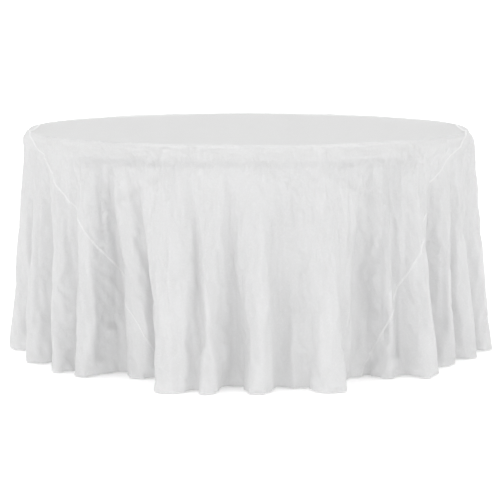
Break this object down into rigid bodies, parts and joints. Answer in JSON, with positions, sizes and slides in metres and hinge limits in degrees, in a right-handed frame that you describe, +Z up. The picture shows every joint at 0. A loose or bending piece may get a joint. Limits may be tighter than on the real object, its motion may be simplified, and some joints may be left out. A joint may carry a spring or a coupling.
{
  "type": "tablecloth on folding table",
  "caption": "Round folding table dressed to the floor with a sheer white crinkled cloth sewn from panels, with a hollow moulded top and fold-in tube legs",
  "frame": {"origin": "on the floor under the middle of the table", "axes": "+Z up, +X to the right as seen from the front, -Y towards the front"},
  "size_m": [1.6844, 1.6844, 0.7621],
  "materials": {
    "sheer_fabric": "sheer white crinkled fabric with a slight sheen",
    "seam_tape": "stitched flat seam in the same white fabric",
    "hem": "narrow rolled and stitched hem",
    "moulded_top": "white moulded plastic with a fine pebble grain",
    "powder_coat": "grey powder coat on steel",
    "brace_steel": "zinc-plated flat bar",
    "ring_steel": "zinc-plated folded sheet",
    "rivet_steel": "plain plated rivet",
    "screw_steel": "zinc-plated screw",
    "black_plastic": "black moulded plastic"
  },
  "bodies": {
    "table": {"table_top": "moulded_top", "rail_front": "powder_coat", "rail_back": "powder_coat", "centre_bracket": "powder_coat", "rail_screw_front_1": "screw_steel", "rail_screw_front_2": "screw_steel", "rail_screw_front_3": "screw_steel", "rail_screw_front_4": "screw_steel", "rail_screw_back_1": "screw_steel", "rail_screw_back_2": "screw_steel", "rail_screw_back_3": "screw_steel", "rail_screw_back_4": "screw_steel", "bracket_screw_left_front": "screw_steel", "bracket_screw_left_back": "screw_steel", "bracket_screw_right_front": "screw_steel", "bracket_screw_right_back": "screw_steel", "anchor_pin_left": "rivet_steel", "anchor_pin_right": "rivet_steel"},
    "tablecloth": {"cloth_centre_panel": "sheer_fabric", "cloth_left_panel": "sheer_fabric", "cloth_right_panel": "sheer_fabric", "left_seam": "seam_tape", "right_seam": "seam_tape", "rolled_hem": "hem"},
    "left_leg_frame": {"pivot_tube_left": "powder_coat", "stretcher_left": "powder_coat", "leg_left_front": "powder_coat", "leg_left_back": "powder_coat", "foot_left_front": "black_plastic", "foot_left_back": "black_plastic", "pivot_cap_left_front": "black_plastic", "pivot_cap_left_back": "black_plastic", "brace_lug_left": "powder_coat", "lug_pin_left": "rivet_steel"},
    "left_upper_bar": {"brace_upper_bar_left": "brace_steel", "knuckle_rivet_left": "rivet_steel"},
    "left_lower_bar": {"brace_lower_bar_left": "brace_steel"},
    "left_lock_ring": {"lock_ring_left": "ring_steel"},
    "right_leg_frame": {"pivot_tube_right": "powder_coat", "stretcher_right": "powder_coat", "leg_right_front": "powder_coat", "leg_right_back": "powder_coat", "foot_right_front": "black_plastic", "foot_right_back": "black_plastic", "pivot_cap_right_front": "black_plastic", "pivot_cap_right_back": "black_plastic", "brace_lug_right": "powder_coat", "lug_pin_right": "rivet_steel"},
    "right_upper_bar": {"brace_upper_bar_right": "brace_steel", "knuckle_rivet_right": "rivet_steel"},
    "right_lower_bar": {"brace_lower_bar_right": "brace_steel"},
    "right_lock_ring": {"lock_ring_right": "ring_steel"}
  },
  "joints": [
    {"name": "cloth_lift", "type": "slide", "parent": "table", "child": "tablecloth", "axis": [0, 0, 1], "range_m": [0, 0.8]},
    {"name": "left_leg_fold", "type": "hinge", "parent": "table", "child": "left_leg_frame", "pos_m": [-0.5, 0, 0.675], "axis": [0, -1, 0], "range_deg": [0, 90]},
    {"name": "left_upper_bar_swing", "type": "hinge", "parent": "table", "child": "left_upper_bar", "pos_m": [-0.12, 0, 0.699], "axis": [0, 1, 0], "range_deg": [0, 29.82]},
    {"name": "left_lower_bar_swing", "type": "hinge", "parent": "left_leg_frame", "child": "left_lower_bar", "pos_m": [-0.476, 0, 0.495], "axis": [0, -1, 0], "range_deg": [0, 60.2]},
    {"name": "left_lock_ring_slide", "type": "slide", "parent": "left_upper_bar", "child": "left_lock_ring", "axis": [0.8676, 0, 0.4972], "range_m": [0, 0.2057]},
    {"name": "right_leg_fold", "type": "hinge", "parent": "table", "child": "right_leg_frame", "pos_m": [0.5, 0, 0.675], "axis": [0, 1, 0], "range_deg": [0, 90]},
    {"name": "right_upper_bar_swing", "type": "hinge", "parent": "table", "child": "right_upper_bar", "pos_m": [0.12, 0, 0.699], "axis": [0, -1, 0], "range_deg": [0, 29.82]},
    {"name": "right_lower_bar_swing", "type": "hinge", "parent": "right_leg_frame", "child": "right_lower_bar", "pos_m": [0.476, 0, 0.495], "axis": [0, 1, 0], "range_deg": [0, 60.2]},
    {"name": "right_lock_ring_slide", "type": "slide", "parent": "right_upper_bar", "child": "right_lock_ring", "axis": [-0.8676, 0, 0.4972], "range_m": [0, 0.2057]}
  ],
  "couplings": [
    {"joint": "left_upper_bar_swing", "follows": "left_leg_fold", "ratio": 0.33127},
    {"joint": "left_lower_bar_swing", "follows": "left_leg_fold", "ratio": 0.66873},
    {"joint": "left_lock_ring_slide", "follows": "left_leg_fold", "m_per_rad": 0.13063},
    {"joint": "right_upper_bar_swing", "follows": "right_leg_fold", "ratio": 0.33127},
    {"joint": "right_lower_bar_swing", "follows": "right_leg_fold", "ratio": 0.66873},
    {"joint": "right_lock_ring_slide", "follows": "right_leg_fold", "m_per_rad": 0.13063}
  ]
}
